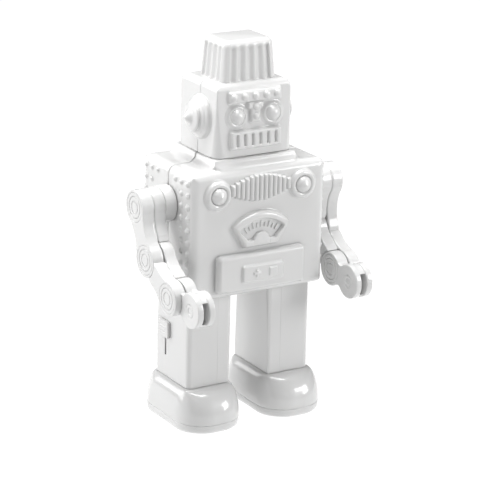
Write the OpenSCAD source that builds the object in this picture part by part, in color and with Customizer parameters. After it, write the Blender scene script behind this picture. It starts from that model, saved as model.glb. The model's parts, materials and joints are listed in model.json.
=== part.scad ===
// Toy-style humanoid robot: boxed body, fluted crown, jointed lobed arms, striding legs.
// The figure faces -Y, its left hand is towards +X, +Z is up.
// The origin is on the standing surface, under the middle of the overall envelope.

/* [Body] */
// Width of the body, side to side
body_w = 117; // [112:1:124]
// Depth of the body, front to back
body_d = 77; // [75:1:80]
// Height of the body
body_h = 99.5; // [98:0.5:104]
// Radius of the body's outer edges
edge_r = 7; // [5:0.5:8]
// Thickness of the body, head and leg walls
wall = 2.5; // [2:0.1:2.8]

/* [Head] */
// Width of the head at its chin
head_w = 67; // [66:0.5:68]
// Width of the head at its top
head_top_w = 63; // [62:0.5:65]
// Depth of the head at its chin
head_d = 59; // [58:0.5:60]
// Depth of the head at its top
head_top_d = 53; // [52:0.5:54]
// Height of the head
head_h = 54.5; // [54:0.5:56]
// Height of the fluted crown
crown_h = 31; // [28:0.5:34]
// Width of the crown at its base
crown_w = 47; // [45:0.5:49]
// Depth of the crown at its base
crown_d = 38; // [37:0.5:39]
// Flutes across the front of the crown
crown_front_flutes = 5; // [4:1:6]
// Flutes along each side of the crown
crown_side_flutes = 4; // [3:1:4]

/* [Legs] */
// Height of the shoe, with its sole
foot_h = 32; // [31:1:36]
// Height of the leg that shows between the body and the shoe
leg_h = 72; // [70:0.5:84]

/* [Arms] */
// Radius of the round lobes at the pivots
lobe_r = 13.3; // [13:0.1:13.6]
// Narrowest width of an arm link, between two lobes
waist_w = 17; // [15:0.5:17.5]
// Thickness of the arm across both of its layers
arm_t = 19.4; // [19:0.2:20]
// Length from shoulder to elbow
upper_arm_l = 40; // [38:0.5:44]
// Length from elbow to wrist
forearm_l = 39.5; // [38:0.5:44]
// Length from wrist to hand lobe
hand_l = 25; // [24:0.5:30]
// Right arm: upper arm's angle forward of straight down
right_upper_a = 24; // [0:1:40]
// Right arm: forearm's angle forward of straight down
right_fore_a = 60; // [40:1:80]
// Right arm: hand's angle forward of straight down
right_hand_a = 84; // [60:1:100]
// Left arm: upper arm's angle forward of straight down
left_upper_a = -5; // [-10:1:20]
// Left arm: forearm's angle forward of straight down
left_fore_a = 53; // [35:1:70]
// Left arm: hand's angle forward of straight down
left_hand_a = 83; // [60:1:100]

/* [Rivets] */
// Distance between the rivets on the body's sides
rivet_pitch = 9; // [8.5:0.1:9.2]
// Rows of rivets down each side edge
rivet_rows = 9; // [5:1:9]

/* [Hidden] */
$fn = 64;

glaze = "white";
steel = "silver";
brass = "gold";
dark = "dimgray";

eps = 0.01;
big = 400;
seam = 0.6;          // gap between the front and rear shells
seam_y = -2;         // where that gap lies, front to back
fit = 0.05;          // radial clearance of a turning shaft
slack = 0.3;         // clearance between loose neighbours

// Levels
body_z = foot_h + leg_h;
body_top = body_z + body_h;
neck_h = 7;          // height of the flared neck on top of the body
neck_flare = 7;      // how far the neck spreads outwards at its foot
head_z = body_top + neck_h + 0.5;
head_top = head_z + head_h;
crown_z = head_top;
crown_top_w = crown_w - 5;
crown_top_d = crown_d - 3.5;
crown_y = -2.5;

// Neck turning parts
spindle_r = 9;
spindle_bore = 5;
bush_r = 12;
nut_r = 13;

// Chest
button_x = 36.7;
button_z = body_z + 82;
bezel_r = 10.7;
bezel_t = 3.6;
button_r = 6.4;
button_travel = 2;
grille_z = button_z + 2.2;
grille_t = 3;
grille_w = 52;
grille_mid_h = 21;
grille_end_h = 8;
grille_ribs = 13;
gauge_z = body_z + 56;
gauge_t = 4.6;
gauge_arc_r = 35;
cover_z0 = body_z + 5.5;
cover_w = 76;
cover_h = 29.5;
cover_t = 5.6;
cover_pin_r = 1.2;
bay_z = cover_z0 + 3;      // floor of the battery bay
lug_x = 31;
pin_y = -body_d / 2 - 2.6;
pin_z = cover_z0 + 2.2;
cell_r = 5.25;
cell_l = 44.5;
box_w = 52;
box_h = 24.5;
box_d = 14;

// Shoulders
shoulder_y = -4;
shoulder_z = body_z + 71;
hub_r = 14;
arm_x = body_w / 2 + 10;   // inner face of the arm
layer_gap = 1.2;           // groove between an arm's two layers
layer_t = (arm_t - layer_gap) / 2;
jaw_h = 17;                // height of the gap between the claw's plates
hand_t = 14.4;             // thickness of the hand
claw_t = 4.6;              // thickness of each plate of the hand's claw
bolt_r = 5;
rivet_r = 3;
cap_r = lobe_r - 2.2;
cap_t = 1.8;

// Hips
hip_y = -9;
hip_z = body_z + 12;
hip_r = 2.5;
leg_in = 15.5;
leg_in_foot = 17.5;
leg_out = 54;
leg_front = -27;
leg_back_top = 18;
leg_back_foot = 24;
leg_rise = 3;              // how far the leg runs up inside the body
cover_split = 28;          // where the leg's front seam lies

function pt(a, l) = [-l * sin(a), -l * cos(a)];
function elbow(side) = let (a = side < 0 ? right_upper_a : left_upper_a)
  [shoulder_y, shoulder_z] + pt(a, upper_arm_l);
function wrist(side) = let (a = side < 0 ? right_fore_a : left_fore_a)
  elbow(side) + pt(a, forearm_l);

// The arms reach forward, so the figure stands behind the envelope's middle
hand_front = min(wrist(-1)[0] - hand_l * sin(right_hand_a), wrist(1)[0] - hand_l * sin(left_hand_a)) - lobe_r;
screw_proud = 0.1;
centre_y = -(hand_front + body_d / 2 + screw_proud) / 2;

// ---------- shared shapes ----------

// Flat rectangle with round corners, centred
module round_rect(w, h, r) {
  square([w - 2 * r, h], center = true);
  square([w, h - 2 * r], center = true);
  for (x = [-1, 1], y = [-1, 1])
    translate([x * (w / 2 - r), y * (h / 2 - r)]) circle(r);
}

// Box with round edges all over, standing on z = 0
module soft_box(w, d, h, r) {
  intersection() {
    linear_extrude(h) round_rect(w, d, r);
    translate([0, d / 2, h / 2]) rotate([90, 0, 0]) linear_extrude(d) round_rect(w, h, r);
    translate([-w / 2, 0, h / 2]) rotate([90, 0, 90]) linear_extrude(w) round_rect(d, h, r);
  }
}

// Upright outline that narrows from w0 to w1, with its top corners rounded
module taper_face(w0, w1, h, r) {
  polygon([[-w0 / 2, 0], [w0 / 2, 0], [w1 / 2, h - r], [w1 / 2 - r, h], [r - w1 / 2, h], [-w1 / 2, h - r]]);
  for (x = [-1, 1]) translate([x * (w1 / 2 - r), h - r]) circle(r);
}

// Tapered block with round upright corners and a round top edge
module taper_block(w0, d0, w1, d1, h, r, top_r) {
  intersection() {
    linear_extrude(h) round_rect(w0, d0, r);
    translate([0, big / 2, 0]) rotate([90, 0, 0]) linear_extrude(big) taper_face(w0, w1, h, top_r);
    translate([-big / 2, 0, 0]) rotate([90, 0, 90]) linear_extrude(big) taper_face(d0, d1, h, top_r);
  }
}

// Half of space: in front of the seam, or behind it
module front_side() {
  translate([-big / 2, seam_y - seam / 2 - big, -1]) cube([big, big, big]);
}

module rear_side() {
  translate([-big / 2, seam_y + seam / 2, -1]) cube([big, big, big]);
}

// A solid cylinder along X, from x0 to x1
module rod_x(r, x0, x1, y, z) {
  translate([x0, y, z]) rotate([0, 90, 0]) cylinder(r = r, h = x1 - x0);
}

// A solid cylinder along Y, from y0 to y1
module rod_y(r, y0, y1, x, z) {
  translate([x, y1, z]) rotate([90, 0, 0]) cylinder(r = r, h = y1 - y0);
}

module both_sides() {
  for (s = [-1, 1]) scale_x(s) children();
}

module scale_x(s) {
  if (s < 0) mirror([1, 0, 0]) children();
  else children();
}

module shift() {
  translate([0, centre_y, 0]) children();
}

// ---------- body ----------

// The neck's foot curves out from the head's outline on to the body's top
module flare_face(w) {
  difference() {
    translate([-w / 2 - neck_flare, -3]) square([w + 2 * neck_flare, neck_h + 3]);
    for (x = [-1, 1]) translate([x * (w / 2 + neck_flare + 1.5), neck_h]) circle(neck_h);
  }
}

module neck_block() {
  translate([0, 0, body_top]) intersection() {
    linear_extrude(neck_h) round_rect(head_w + 2 * neck_flare, min(head_d + 2 * neck_flare, body_d - 8), 12);
    translate([0, big / 2, 0]) rotate([90, 0, 0]) linear_extrude(big) flare_face(head_w);
    translate([-big / 2, 0, 0]) rotate([90, 0, 90]) linear_extrude(big) flare_face(head_d);
  }
}

module side_rivets(sign_y) {
  first_z = body_top - 4;
  both_sides() {
    for (c = [0, 1], i = [0:rivet_rows - 1])
      translate([body_w / 2 - 0.6, sign_y * (body_d / 2 - 7 - c * rivet_pitch), first_z - edge_r / 2 - i * rivet_pitch])
        sphere(1.6, $fn = 24);
    translate([body_w / 2 - 0.6, sign_y * (body_d / 2 - 7 - 2 * rivet_pitch), first_z - edge_r / 2])
      sphere(1.6, $fn = 24);
  }
}

boss_x = body_w / 2 - 9;
boss_r = 3.6;
screw_r = 1.5;
boss_low_z = body_z + 38;
boss_high_z = body_top - 10;

module body_skin() {
  difference() {
    union() {
      translate([0, 0, body_z]) soft_box(body_w, body_d, body_h, edge_r);
      neck_block();
    }
    translate([0, 0, body_z + wall])
      soft_box(body_w - 2 * wall, body_d - 2 * wall, body_h - 2 * wall, edge_r - wall);
    // neck bearing
    translate([0, 0, body_top - wall - 1]) cylinder(r = bush_r + 0.05, h = neck_h + wall + 2);
    // shoulder bushes
    rod_x(9.05, -body_w / 2 - 1, body_w / 2 + 1, shoulder_y, shoulder_z);
    // leg openings
    both_sides()
      translate([leg_in - 1, leg_front - 3, body_z - 1])
        cube([leg_out - leg_in + 2, leg_back_top - leg_front + 6, wall + 2]);
  }
}

module front_shell() shift() color(glaze) {
  difference() {
    union() {
      intersection() {
        body_skin();
        front_side();
      }
      side_rivets(-1);
      for (z = [boss_low_z, boss_high_z])
        both_sides() rod_y(boss_r, -body_d / 2 + wall - eps, seam_y - seam / 2, boss_x, z);
    }
    for (z = [boss_low_z, boss_high_z])
      both_sides() rod_y(screw_r, seam_y - 12, seam_y + 1, boss_x, z);
    // button and bezel seats
    both_sides() rod_y(button_r + 0.35, -body_d / 2 - 1, -body_d / 2 + wall + 1, button_x, button_z);
    // battery opening, with the room its hinge pin needs
    translate([-box_w / 2, -body_d / 2 - 1, bay_z]) cube([box_w, wall + 2, box_h]);
  }
}

module rear_shell() shift() color(glaze) {
  difference() {
    union() {
      intersection() {
        body_skin();
        rear_side();
      }
      side_rivets(1);
      for (z = [boss_low_z, boss_high_z])
        both_sides() rod_y(boss_r, seam_y - seam / 2 + eps, body_d / 2 - wall + eps, boss_x, z);
    }
    for (z = [boss_low_z, boss_high_z]) both_sides() {
      rod_y(screw_r + 0.2, seam_y - 2, body_d / 2 + 1, boss_x, z);
      rod_y(2.8, body_d / 2 - 1.6, body_d / 2 + 1, boss_x, z);
    }
    both_sides() rod_y(screw_r + 0.2, 20, body_d / 2 + 1, 30, frame_screw_z);
    both_sides() rod_y(2.8, body_d / 2 - 1.6, body_d / 2 + 1, 30, frame_screw_z);
  }
}

module screw(tip_y, x, z) {
  difference() {
    union() {
      rod_y(screw_r - 0.05, tip_y, body_d / 2 - 1.4, x, z);
      rod_y(2.7, body_d / 2 - 1.6, body_d / 2 + screw_proud, x, z);
    }
    for (a = [0, 90]) translate([x, body_d / 2, z]) rotate([0, a, 0]) cube([3.4, 1.4, 0.7], center = true);
  }
}

module case_screws() shift() color(steel) {
  for (z = [boss_low_z, boss_high_z]) both_sides() screw(seam_y - 11, boss_x, z);
  both_sides() screw(24, 30, frame_screw_z);
}

// Lens-shaped panel of upright ribs
module chest_grille() shift() color(glaze) {
  step = grille_w / grille_ribs;
  for (i = [0:grille_ribs - 1]) {
    x = (i - (grille_ribs - 1) / 2) * step;
    h = grille_end_h + (grille_mid_h - grille_end_h) * cos(90 * abs(x) / (grille_w / 2));
    translate([x, -body_d / 2, grille_z]) {
      translate([-step / 2 - eps, -grille_t / 2, -h / 2]) cube([step + 2 * eps, grille_t / 2, h]);
      intersection() {
        translate([0, 0.42 * step - grille_t, -h / 2]) cylinder(r = step * 0.42, h = h, $fn = 24);
        translate([-step, -2 * step, -h / 2]) cube([2 * step, 2 * step, h]);
      }
    }
  }
}

module button_bezels() shift() color(glaze)
  both_sides() translate([button_x, -body_d / 2, button_z]) rotate([90, 0, 0]) rotate_extrude()
    difference() {
      translate([button_r + 0.35, 0]) square([bezel_r - button_r - 0.35, bezel_t]);
      translate([bezel_r + 1, bezel_t + 0.8]) circle(3);
    }

// A domed push button, with a collar that the spring presses on
module chest_button(side) shift() color(glaze)
  translate([side * button_x, -body_d / 2, button_z]) rotate([90, 0, 0]) {
    intersection() {
      cylinder(r = button_r, h = 7);
      translate([0, 0, -0.2]) sphere(7);
    }
    translate([0, 0, -wall - 1.5]) cylinder(r = button_r, h = wall + 1.5 + eps);
    translate([0, 0, -wall - 2.5]) cylinder(r = button_r + 2, h = 2.3);
  }

module chest_button_right() chest_button(-1);
module chest_button_left() chest_button(1);

// One leaf behind both buttons, held by a block on the front wall
module button_spring() shift() color(steel) {
  translate([-button_x - 6, -body_d / 2 + wall + 5, button_z - 4]) cube([2 * button_x + 12, 0.6, 8]);
  translate([-5, -body_d / 2 + wall, button_z - 4]) cube([10, 5 + eps, 8]);
}

// Outline of the gauge: round top, straight sides that close in, flat foot
module gauge_outline(grow) {
  intersection() {
    translate([0, -24.8]) circle(gauge_arc_r + grow, $fn = 96);
    polygon([[-29.5 - grow, 14], [-15.2 - grow, -17 - grow], [15.2 + grow, -17 - grow], [29.5 + grow, 14],
      [30, 30], [-30, 30]]);
    square([48.5 + 2 * grow, 60], center = true);
  }
}

module gauge_window() {
  difference() {
    intersection() {
      translate([0, -24.8]) circle(gauge_arc_r - 6, $fn = 96);
      polygon([[-23.5, 12], [-11.5, -11], [11.5, -11], [23.5, 12], [23.5, 30], [-23.5, 30]]);
      square([37, 60], center = true);
    }
    translate([0, -13]) circle(7.5);
  }
}

module on_front(z, out) {
  translate([0, -body_d / 2 - out, z]) rotate([90, 0, 0]) children();
}

module gauge_bezel() shift() color(glaze)
  on_front(gauge_z, 0) difference() {
    union() {
      linear_extrude(gauge_t) gauge_outline(-1.5);
      linear_extrude(gauge_t - 1.5) gauge_outline(0);
    }
    translate([0, 0, 2]) linear_extrude(5) gauge_window();
  }

module gauge_dial() shift() color(glaze)
  on_front(gauge_z, 2) intersection() {
    union() {
      linear_extrude(0.4) gauge_window();
      for (a = [-32:8:32])
        translate([0, -24.8]) rotate(-a) translate([-0.3, 24, 0.3]) cube([0.6, abs(a) % 16 == 0 ? 3.2 : 2, 0.5]);
    }
    linear_extrude(3) difference() {
      translate([0, -24.8]) circle(gauge_arc_r - 6.2, $fn = 96);
      translate([0, -13]) circle(7.7);
    }
  }

// ---------- battery bay ----------

module battery_cover() shift() color(glaze) {
  mid_z = cover_z0 + cover_h / 2;
  difference() {
    union() {
      on_front(mid_z, slack) linear_extrude(cover_t - 1.2) round_rect(cover_w, cover_h, 3);
      on_front(mid_z, slack) linear_extrude(cover_t) round_rect(cover_w - 3, cover_h - 3, 2.5);
      on_front(mid_z - 0.6, slack) linear_extrude(cover_t + 2.2) round_rect(36, 13, 1.6);
      // signs for the cells' ends
      on_front(mid_z - 0.6, slack) linear_extrude(cover_t + 3.1) {
        translate([-6, 0]) square([6, 2], center = true);
        translate([-6, 0]) square([2, 6], center = true);
      }
      on_front(mid_z - 0.6, slack) linear_extrude(cover_t + 3.1) translate([8, 0]) square([7, 7], center = true);
      // snap tongue that enters the top of the bay
      translate([-8, -body_d / 2 - slack - eps, bay_z + box_h - 3]) cube([16, 2.6, 1.6]);
    }
    rod_x(cover_pin_r + fit, -lug_x - 6, lug_x + 6, pin_y, pin_z);
    // the lower back edge is cut round the pin, so that the cover clears the body as it swings
    difference() {
      translate([-cover_w, pin_y, cover_z0 - 1]) cube([2 * cover_w, 8, pin_z - cover_z0 + 1]);
      rod_x(pin_z - cover_z0, -cover_w, cover_w, pin_y, pin_z);
    }
    // room for the hinge lugs
    both_sides() translate([lug_x - slack, pin_y - 2.2, cover_z0 - 1]) cube([3 + 2 * slack, 8, pin_z - cover_z0 + 5.5]);
  }
}

// The cover's hinge pin, carried by two lugs on the body's front
module cover_pin() shift() color(steel) {
  rod_x(cover_pin_r, -lug_x - 5.5, lug_x + 5.5, pin_y, pin_z);
  both_sides() {
    rod_x(1.9, lug_x, lug_x + 3, pin_y, pin_z);
    translate([lug_x, pin_y, pin_z - 1.9]) cube([3, -body_d / 2 - pin_y, 3.8]);
  }
}

module battery_box() shift() color(glaze)
  translate([0, -body_d / 2 + wall, bay_z]) difference() {
    translate([-box_w / 2 - 1.6, 0, -1.6]) cube([box_w + 3.2, box_d + 1.6, box_h + 3.2]);
    translate([-box_w / 2, -1, 0]) cube([box_w, box_d + 1, box_h]);
  }

cell_y = -body_d / 2 + wall + box_d / 2;

// Turns every second row round, so that the cells lie head to tail
module each_cell() {
  for (i = [0, 1]) scale_x(i == 0 ? 1 : -1) translate([0, cell_y, bay_z + box_h * (0.25 + 0.5 * i)]) children();
}

module battery_cells() shift() color(dark)
  each_cell() {
    rod_x(cell_r, -cell_l / 2, cell_l / 2 - 1, 0, 0);
    rod_x(1.9, cell_l / 2 - 1 - eps, cell_l / 2, 0, 0);
  }

// A flat contact at one end of each cell and a stepped spring at the other
module battery_contacts() shift() color(brass)
  each_cell() {
    translate([box_w / 2 - 0.9, -4.5, -4.5]) cube([0.6, 9, 9]);
    rod_x(2, cell_l / 2 + 0.2, box_w / 2 - 0.9 + eps, 0, 0);
    translate([-box_w / 2 + 0.3, -4.5, -4.5]) cube([0.6, 9, 9]);
    for (k = [0, 1]) rod_x(4.2 - k * 1.2, -box_w / 2 + 0.9 - eps, -box_w / 2 + 2.1 + k * 1.2, 0, 0);
  }

// ---------- hips ----------

frame_z = body_z + 25;
frame_screw_z = frame_z + 9;

module hip_frame() shift() color(steel) difference() {
  union() {
    translate([-51.5, -13.5, frame_z]) cube([103, body_d / 2 - wall + 13.5, 2.5]);
    translate([-40, body_d / 2 - wall - 2.5, frame_z]) cube([80, 2.5, 16]);
    translate([-10, hip_y - 6.5, body_z + 4]) cube([20, 13, frame_z - body_z - 3.9]);
    both_sides() translate([48.5, hip_y - 6.5, hip_z - 6]) cube([3, 13, frame_z - hip_z + 6.1]);
  }
  rod_x(hip_r + fit, -60, 60, hip_y, hip_z);
  both_sides() rod_y(screw_r, 20, 50, 30, frame_screw_z);
}

module hip_axle() shift() color(steel) {
  rod_x(hip_r, -53, 53, hip_y, hip_z);
  both_sides() rod_x(4, 51.8, 53, hip_y, hip_z);
}

module neck_bush() shift() color(dark)
  translate([0, 0, body_top - wall - 2]) difference() {
    union() {
      cylinder(r = bush_r, h = neck_h + wall + 2 - 0.2);
      cylinder(r = bush_r + 4, h = 2);
    }
    translate([0, 0, -1]) cylinder(r = spindle_r + fit, h = 30);
  }

module shoulder_bushes() shift() color(dark)
  both_sides() translate([body_w / 2 - wall - 2, shoulder_y, shoulder_z]) rotate([0, 90, 0]) difference() {
    union() {
      cylinder(r = 9, h = wall + 2);
      cylinder(r = 12, h = 2);
    }
    translate([0, 0, -1]) cylinder(r = bolt_r + fit, h = 20);
  }

// ---------- head ----------

module head_skin() {
  translate([0, 0, head_z]) difference() {
    taper_block(head_w, head_d, head_top_w, head_top_d, head_h, 8, 5);
    translate([0, 0, wall])
      taper_block(head_w - 2 * wall, head_d - 2 * wall, head_top_w - 2 * wall, head_top_d - 2 * wall,
        head_h - 2 * wall, 5.5, 2.5);
    translate([0, 0, -1]) cylinder(r = spindle_r + fit, h = 10);
  }
}

eye_x = 15.3;
eye_z = head_z + 30.5;
brow_z = head_z + 45;
nose_z = head_z + 32.8;
mouth_z = head_z + 12.8;
ear_z = head_z + 27.5;
ear_y = -4;
ear_r = 16;

// How far the sloping face and cheek have come in at a height above the chin
function face_y(z) = -(head_d - (head_d - head_top_d) * (z - head_z) / head_h) / 2;
function cheek_x(z) = (head_w - (head_w - head_top_w) * (z - head_z) / head_h) / 2;
face_tilt = atan((head_d - head_top_d) / 2 / head_h);
cheek_tilt = atan((head_w - head_top_w) / 2 / head_h);

// Puts a flat shape on the sloping face at height z
module on_face(z, out = 0) {
  translate([0, face_y(z), z]) rotate([90 - face_tilt, 0, 0]) translate([0, 0, out]) children();
}

module on_cheek(side, z, out = 0) {
  scale_x(side) translate([cheek_x(z), ear_y, z]) rotate([0, 90 - cheek_tilt, 0])
    translate([0, 0, out]) children();
}

module face_shell() shift() color(glaze) difference() {
  intersection() {
    head_skin();
    front_side();
  }
  both_sides() translate([eye_x, 0, 0]) on_face(eye_z, -6) cylinder(r = 3.5, h = 12);
  for (s = [-1, 1]) on_cheek(s, ear_z, -8) cylinder(r = 3.2, h = 16);
  crown_screw_hole();
}

module rear_head_shell() shift() color(glaze) difference() {
  intersection() {
    head_skin();
    rear_side();
  }
  for (s = [-1, 1]) on_cheek(s, ear_z, -8) cylinder(r = 3.2, h = 16);
  crown_screw_hole();
}

module crown_screw_hole() {
  translate([0, crown_y, head_top - 10]) cylinder(r = 6.2, h = 20);
}

module neck_spindle() shift() color(steel)
  translate([0, 0, body_top - wall - 12]) difference() {
    union() {
      cylinder(r = spindle_r, h = neck_h + wall + 12 + 0.5 + wall + 2);
      translate([0, 0, neck_h + wall + 12 + 0.5 + wall]) cylinder(r = spindle_r + 5, h = 2);
    }
    translate([0, 0, -1]) cylinder(r = spindle_bore, h = 60);
  }

module neck_nut() shift() color(brass)
  translate([0, 0, body_top - wall - 2 - 0.4 - 5]) difference() {
    cylinder(r = nut_r, h = 5, $fn = 6);
    translate([0, 0, -1]) cylinder(r = spindle_r + 0.02, h = 8);
  }

module brow_plate() shift() color(glaze) {
  on_face(brow_z) linear_extrude(2.4) round_rect(44.5, 8.8, 1);
  for (i = [-2:2]) translate([i * 9.3, 0, 0]) on_face(brow_z, 2.3) sphere(2.2, $fn = 32);
}

module nose_plate() shift() color(glaze) {
  on_face(nose_z) linear_extrude(2.4) {
    square([8.4, 15.4], center = true);
    translate([0, 5.2]) square([13.5, 5], center = true);
  }
  for (dz = [4.3, -3]) on_face(nose_z + dz, 2.4) sphere(2.3, $fn = 32);
}

module eye_rims() shift() color(glaze)
  both_sides() translate([eye_x, 0, 0]) on_face(eye_z) rotate_extrude() difference() {
    translate([5.6, 0]) square([2.9, 3]);
    translate([9.3, 4]) circle(2.4);
  }

module eye_lenses() shift() color(glaze)
  both_sides() translate([eye_x, 0, 0]) on_face(eye_z) intersection() {
    translate([0, 0, -0.1]) sphere(5.5);
    cylinder(r = 5.5, h = 8);
  }

// Two small lamps on a bracket behind the eyes
module eye_lamps() shift() color(brass) {
  z = eye_z;
  y = face_y(z) + wall + 1.5;
  both_sides() {
    translate([eye_x, y, z]) sphere(2.6, $fn = 32);
    rod_y(2.6, y, y + 6, eye_x, z);
  }
  translate([-eye_x - 4, y + 6 - eps, z - 4]) cube([2 * eye_x + 8, 1.2, 8]);
  rod_y(2.2, y - 1.2, y + 6, 0, z);
}

module mouth_grille() shift() color(glaze)
  on_face(mouth_z) difference() {
    linear_extrude(3.4) round_rect(43.5, 14, 0.8);
    for (i = [0:5]) translate([(i - 2.5) * 6.6, -0.2, 3.4]) cube([2.2, 8.8, 3.6], center = true);
  }

module ear_discs() shift() color(glaze)
  for (s = [-1, 1]) on_cheek(s, ear_z) rotate_extrude() difference() {
    union() {
      square([ear_r, 3]);
      square([ear_r - 2.4, 5.8]);
    }
    translate([-1, -1]) square([1 + 6.2, 8]);
    translate([ear_r + 0.4, 3.8]) circle(1.6);
  }

module ear_knobs() shift() color(glaze)
  for (s = [-1, 1]) on_cheek(s, ear_z) rotate_extrude() polygon([
    [0, -6], [3, -6], [3, 0], [6, 0], [6, 6], [10.6, 6.6], [11, 7.8], [10.2, 8.6], [6.2, 9], [4.8, 11.2],
    [2.2, 13.4], [0, 13.8]]);

module crown() shift() color(glaze)
  translate([0, crown_y, crown_z]) difference() {
    union() {
      taper_block(crown_w, crown_d, crown_top_w, crown_top_d, crown_h, 4, 4);
      translate([0, 0, -wall - 1.6]) cylinder(r = 6, h = crown_h / 2);
    }
    difference() {
      translate([0, 0, -1]) taper_block(crown_w - 8, crown_d - 8, crown_top_w - 8, crown_top_d - 8,
        crown_h - 2.5, 2, 1);
      translate([0, 0, -2]) cylinder(r = 8, h = crown_h + 4);
    }
    crown_flutes(crown_front_flutes, crown_w, crown_d, crown_top_d, 0);
    crown_flutes(crown_side_flutes, crown_d, crown_w, crown_top_w, 90);
  }

// A row of upright flutes on one opposite pair of the crown's sides
module crown_flutes(count, along, across, across_top, turn) {
  pitch = (along - 6.5) / count;
  tilt = atan((across - across_top) / 2 / crown_h);
  rotate(turn) for (s = [0, 180], i = [0:count - 1])
    rotate(s) translate([(i - (count - 1) / 2) * pitch, -across / 2 - 1.2, -1]) rotate([-tilt, 0, 0])
      cylinder(r = pitch * 0.42, h = crown_h - 3.5, $fn = 24);
}

// ---------- arms ----------

// Two lobes joined by a waist whose sides are hollow arcs, which bite a little into the lobes
module link_outline(l, r, w) {
  bite = 0.15;
  arc_r = (l * l / 4 + w * w / 4 - r * r) / (2 * r - w);
  touch = r / (arc_r + r);
  touch_x = l / 2 * touch - 2;
  touch_y = (w / 2 + arc_r) * touch - 0.5;
  circle(r);
  translate([l, 0]) circle(r);
  difference() {
    translate([touch_x, -touch_y]) square([l - 2 * touch_x, 2 * touch_y]);
    for (s = [-1, 1]) translate([l / 2, s * (w / 2 + arc_r - bite)]) circle(arc_r, $fn = 96);
  }
}

// The same outline with one end scooped out around the neighbour's lobe
module scooped_outline(l, r, w, near, far) {
  difference() {
    link_outline(l, r, w);
    if (near) {
      circle(lobe_r + 0.5);
      for (s = [-1, 1]) translate([0, s * (w / 2 + r)]) square([2 * r + 4, 2 * r], center = true);
    }
    if (far) translate([l, 0]) {
      circle(lobe_r + 0.5);
      for (s = [-1, 1]) translate([0, s * (w / 2 + r)]) square([2 * r + 4, 2 * r], center = true);
    }
  }
}

// Lays a flat arm shape at a pivot: the shape's +X runs down the link at angle a
module at_pivot(side, p, a, x0) {
  scale_x(side) translate([x0, p[0], p[1]]) rotate([-a, 0, 0]) rotate([0, 90, 0]) children();
}

outer_x0 = arm_x + layer_t + layer_gap;
arm_out = arm_x + arm_t;

module ring_grooves(r) {
  for (k = [0.42, 0.74]) difference() {
    cylinder(r = r * k + 0.45, h = 3);
    translate([0, 0, -1]) cylinder(r = r * k - 0.45, h = 5);
  }
}

// Recess and through hole for a ringed rivet head on a lobe's outer face
module head_recess(l, t) {
  translate([l, 0, t - cap_t]) cylinder(r = cap_r + 0.15, h = cap_t + 1);
}

module upper_arm(side) shift() color(glaze) {
  a = side < 0 ? right_upper_a : left_upper_a;
  l = upper_arm_l;
  at_pivot(side, [shoulder_y, shoulder_z], a, arm_x) difference() {
    union() {
      linear_extrude(layer_t) scooped_outline(l, lobe_r, waist_w, false, true);
      translate([0, 0, layer_t - eps]) linear_extrude(layer_gap + 2 * eps)
        scooped_outline(l, lobe_r - 1.1, waist_w - 2.2, false, true);
      translate([0, 0, layer_t + layer_gap]) linear_extrude(layer_t) link_outline(l, lobe_r, waist_w);
    }
    translate([0, 0, -1]) cylinder(r = bolt_r + 0.02, h = arm_t + 2);
    translate([l, 0, -1]) cylinder(r = rivet_r + 0.02, h = arm_t + 2);
    head_recess(0, arm_t);
    head_recess(l, arm_t);
  }
}

module forearm(side) shift() color(glaze) {
  a = side < 0 ? right_fore_a : left_fore_a;
  l = forearm_l;
  at_pivot(side, elbow(side), a, arm_x) difference() {
    union() {
      linear_extrude(layer_t) scooped_outline(l, lobe_r, waist_w, false, true);
      translate([0, 0, layer_t - eps]) linear_extrude(layer_gap + 2 * eps)
        scooped_outline(l, lobe_r - 1.1, waist_w - 2.2, true, true);
      translate([0, 0, layer_t + layer_gap]) linear_extrude(layer_t)
        scooped_outline(l, lobe_r, waist_w, true, false);
    }
    translate([0, 0, -1]) cylinder(r = rivet_r + fit, h = arm_t + 2);
    translate([l, 0, -1]) cylinder(r = rivet_r + 0.02, h = arm_t + 2);
    head_recess(l, arm_t);
    translate([0, 0, -2.3]) ring_grooves(cap_r);
  }
}

module hand(side) shift() color(glaze) {
  a = side < 0 ? right_hand_a : left_hand_a;
  l = hand_l;
  at_pivot(side, wrist(side), a, arm_x) difference() {
    union() {
      linear_extrude(claw_t) link_outline(l, lobe_r, waist_w);
      translate([0, 0, claw_t - eps]) linear_extrude(layer_t - claw_t + eps) circle(lobe_r - 0.02);
      translate([0, 0, claw_t - eps]) linear_extrude(hand_t - 2 * claw_t + 2 * eps) difference() {
        link_outline(l, lobe_r - 1.1, waist_w - 2.2);
        circle(lobe_r + 0.6);
        translate([l + 1, -jaw_h / 2]) square([lobe_r, jaw_h]);
      }
      translate([0, 0, hand_t - claw_t]) linear_extrude(claw_t)
        scooped_outline(l, lobe_r, waist_w, true, false);
    }
    translate([0, 0, -1]) cylinder(r = rivet_r + fit, h = arm_t + 2);
    translate([0, 0, -1]) cylinder(r = cap_r + 0.15, h = cap_t + 1);
    for (z = [-1, hand_t - 1.2]) translate([l, 0, z]) cylinder(r = 5.2, h = 2.2);
  }
}

// Ringed cap on the wrist's inner face, and the small studs on the hand's two faces
module hand_caps(side) shift() color(glaze) {
  a = side < 0 ? right_hand_a : left_hand_a;
  at_pivot(side, wrist(side), a, arm_x) {
    difference() {
      cylinder(r = cap_r, h = cap_t - 0.05);
      translate([0, 0, -2.3]) ring_grooves(cap_r);
    }
    for (z = [0, hand_t - 1.15]) translate([hand_l, 0, z]) difference() {
      cylinder(r = 5, h = 1.15);
      translate([0, 0, z == 0 ? -1 : 0.6]) cylinder(r = 2.6, h = 1.6);
    }
  }
}

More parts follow.
